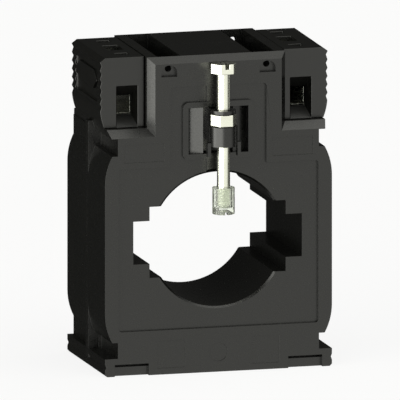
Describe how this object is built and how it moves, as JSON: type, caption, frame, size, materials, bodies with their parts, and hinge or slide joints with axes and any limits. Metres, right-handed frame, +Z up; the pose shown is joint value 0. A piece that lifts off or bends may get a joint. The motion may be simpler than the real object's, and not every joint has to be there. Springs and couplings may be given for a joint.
{
  "type": "current transformer",
  "caption": "Window-type current transformer: moulded case with a stepped window for bars or cable, two covered side terminals and a bar clamp screw with clear cap.",
  "frame": {"origin": "on the foot's underside, below the window's axis, in the plane where the front and rear shells meet", "axes": "+Z up from the foot to the top plate; +Y through the window to the rear; +X to the right seen from the front, where the clamp screw stands"},
  "size_m": [0.0702, 0.0523, 0.0957],
  "materials": {
    "case_plastic": "fine matt black moulding",
    "cover_plastic": "fine matt black moulding",
    "holder_plastic": "matt black moulding",
    "clear_plastic": "clear, slightly green",
    "zinc_steel": "bright zinc",
    "tinned_brass": "tinned",
    "core_steel": "strip-wound electrical steel",
    "tape": "insulating tape",
    "copper": "enamelled copper wire",
    "lead_insulation": "insulated wire"
  },
  "bodies": {
    "case": {"front_shell": "case_plastic", "rear_shell": "case_plastic", "core": "core_steel", "core_tape": "tape", "secondary_winding": "copper", "winding_lead_left": "lead_insulation", "winding_lead_right": "lead_insulation", "terminal_carrier_left": "cover_plastic", "terminal_carrier_right": "cover_plastic", "terminal_bar_left": "tinned_brass", "terminal_bar_right": "tinned_brass", "nut_holder": "holder_plastic", "clamp_nut": "zinc_steel"},
    "cage_left": {"terminal_cage_left": "zinc_steel"},
    "screw_left": {"terminal_screw_left": "zinc_steel"},
    "cover_left": {"terminal_cover_left": "cover_plastic"},
    "cage_right": {"terminal_cage_right": "zinc_steel"},
    "screw_right": {"terminal_screw_right": "zinc_steel"},
    "cover_right": {"terminal_cover_right": "cover_plastic"},
    "cap": {"clamp_cap": "clear_plastic"},
    "clamp": {"clamp_screw": "zinc_steel"}
  },
  "joints": [
    {"name": "clamp_turn", "type": "hinge", "parent": "cap", "child": "clamp", "pos_m": [0, -0.026, 0.0775], "axis": [0, 0, 1], "range_deg": [-5709, 6429]},
    {"name": "clamp_travel", "type": "slide", "parent": "case", "child": "cap", "axis": [0, 0, 1], "range_m": [-0.0111, 0.0125]},
    {"name": "terminal_turn_left", "type": "hinge", "parent": "case", "child": "screw_left", "pos_m": [-0.0268, 0.00085, 0.09], "axis": [0, 0, 1], "range_deg": [-2881, 0]},
    {"name": "cage_lift_left", "type": "slide", "parent": "case", "child": "cage_left", "axis": [0, 0, 1], "range_m": [0, 0.0056]},
    {"name": "cover_lift_left", "type": "slide", "parent": "case", "child": "cover_left", "axis": [0, 0, 1], "range_m": [0, 0.024]},
    {"name": "terminal_turn_right", "type": "hinge", "parent": "case", "child": "screw_right", "pos_m": [0.0268, 0.00085, 0.09], "axis": [0, 0, 1], "range_deg": [-2881, 0]},
    {"name": "cage_lift_right", "type": "slide", "parent": "case", "child": "cage_right", "axis": [0, 0, 1], "range_m": [0, 0.0056]},
    {"name": "cover_lift_right", "type": "slide", "parent": "case", "child": "cover_right", "axis": [0, 0, 1], "range_m": [0, 0.024]}
  ],
  "couplings": [
    {"joint": "clamp_turn", "follows": "clamp_travel", "rad_per_m": 8976},
    {"joint": "terminal_turn_left", "follows": "cage_lift_left", "rad_per_m": -8976},
    {"joint": "terminal_turn_right", "follows": "cage_lift_right", "rad_per_m": -8976}
  ]
}
